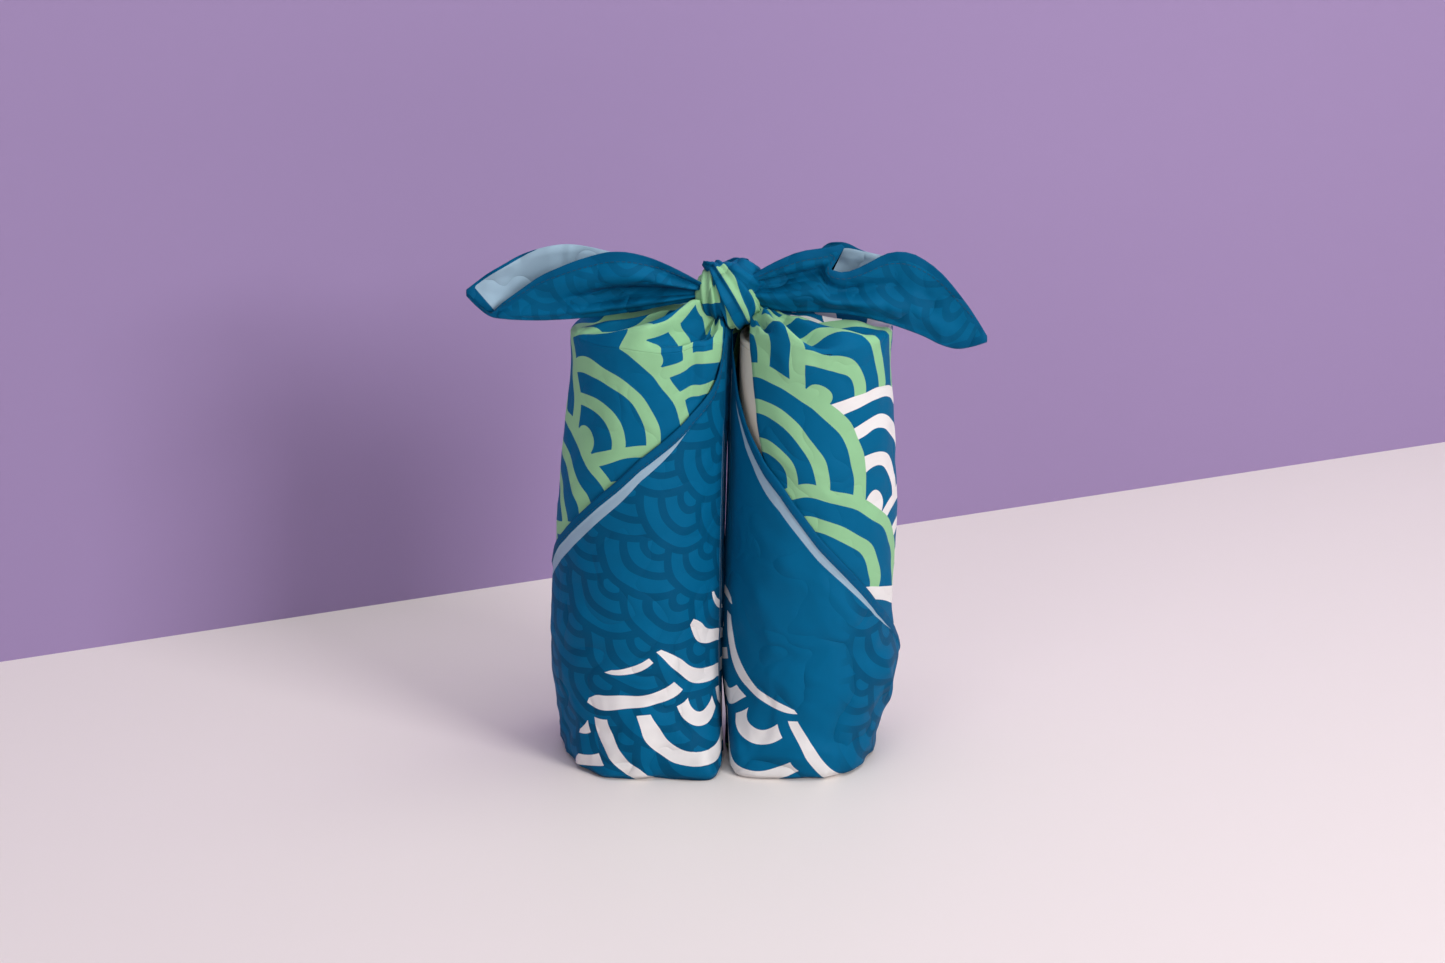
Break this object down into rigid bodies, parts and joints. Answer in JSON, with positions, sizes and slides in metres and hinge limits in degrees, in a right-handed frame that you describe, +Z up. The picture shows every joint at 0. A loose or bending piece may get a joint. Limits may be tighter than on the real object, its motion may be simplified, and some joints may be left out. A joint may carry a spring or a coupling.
{
  "type": "furoshiki wrap around two canisters",
  "caption": "Square wrapping cloth rolled on the slant round two upright canisters, its free corners tied on top in a square knot with long ends.",
  "frame": {"origin": "on the supporting surface, under the cloth between the two columns", "axes": "+X to the right along the pair of columns, +Y to the back, +Z up"},
  "size_m": [0.2417, 0.0884, 0.2546],
  "materials": {
    "cloth": "fine plain weave, soft sheen",
    "canister": "smooth matte paper"
  },
  "bodies": {
    "root": {"furoshiki": "cloth", "canister_left": "canister", "canister_right": "canister"}
  },
  "joints": []
}
